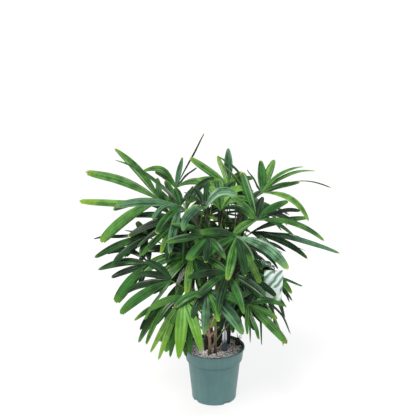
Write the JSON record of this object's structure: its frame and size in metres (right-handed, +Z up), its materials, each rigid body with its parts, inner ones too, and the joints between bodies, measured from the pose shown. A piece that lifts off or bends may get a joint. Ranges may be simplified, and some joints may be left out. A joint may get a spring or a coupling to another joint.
{
  "type": "potted lady palm",
  "caption": "Potted lady palm: a clump of thin fibrous canes with fan-shaped fronds of long ribbed leaflets on slender stalks, in a tapered plastic nursery pot.",
  "frame": {"origin": "centre of the pot's flat underside", "axes": "+Z up along the pot's axis, -Y towards the plant's front, +X to the viewer's right"},
  "size_m": [0.8827, 0.7319, 0.8899],
  "materials": {
    "pot_plastic": "satin moulded polypropylene",
    "potting_mix": "damp peat and bark under loose grey gravel",
    "label_plastic": "satin polystyrene stick",
    "cane": "ringed cane wrapped in dry brown fibre",
    "tag_plastic": "smooth printed film",
    "frond": "glossy ribbed green leaf"
  },
  "bodies": {
    "root": {"pot": "pot_plastic", "potting_mix": "potting_mix", "plant_label": "label_plastic", "cane_stub": "cane", "cane_01": "cane", "cane_02": "cane", "cane_03": "cane", "cane_04": "cane", "cane_05": "cane", "cane_06": "cane", "cane_07": "cane", "cane_08": "cane", "cane_09": "cane", "cane_10": "cane", "hang_tag": "tag_plastic", "frond_01": "frond", "frond_02": "frond", "frond_03": "frond", "frond_04": "frond", "frond_05": "frond", "frond_06": "frond", "frond_07": "frond", "frond_08": "frond", "frond_09": "frond", "frond_10": "frond", "frond_11": "frond", "frond_12": "frond", "frond_13": "frond", "frond_14": "frond", "frond_15": "frond", "frond_16": "frond", "frond_17": "frond", "frond_18": "frond", "frond_19": "frond", "frond_20": "frond", "frond_21": "frond", "frond_22": "frond", "frond_23": "frond", "frond_24": "frond", "frond_25": "frond", "frond_26": "frond", "frond_27": "frond", "frond_28": "frond", "frond_29": "frond", "frond_30": "frond", "frond_31": "frond", "frond_32": "frond", "frond_33": "frond", "frond_34": "frond", "frond_35": "frond", "frond_36": "frond", "frond_37": "frond", "frond_38": "frond", "frond_39": "frond", "frond_40": "frond", "frond_41": "frond", "frond_42": "frond", "frond_43": "frond", "frond_44": "frond", "frond_45": "frond"}
  },
  "joints": []
}
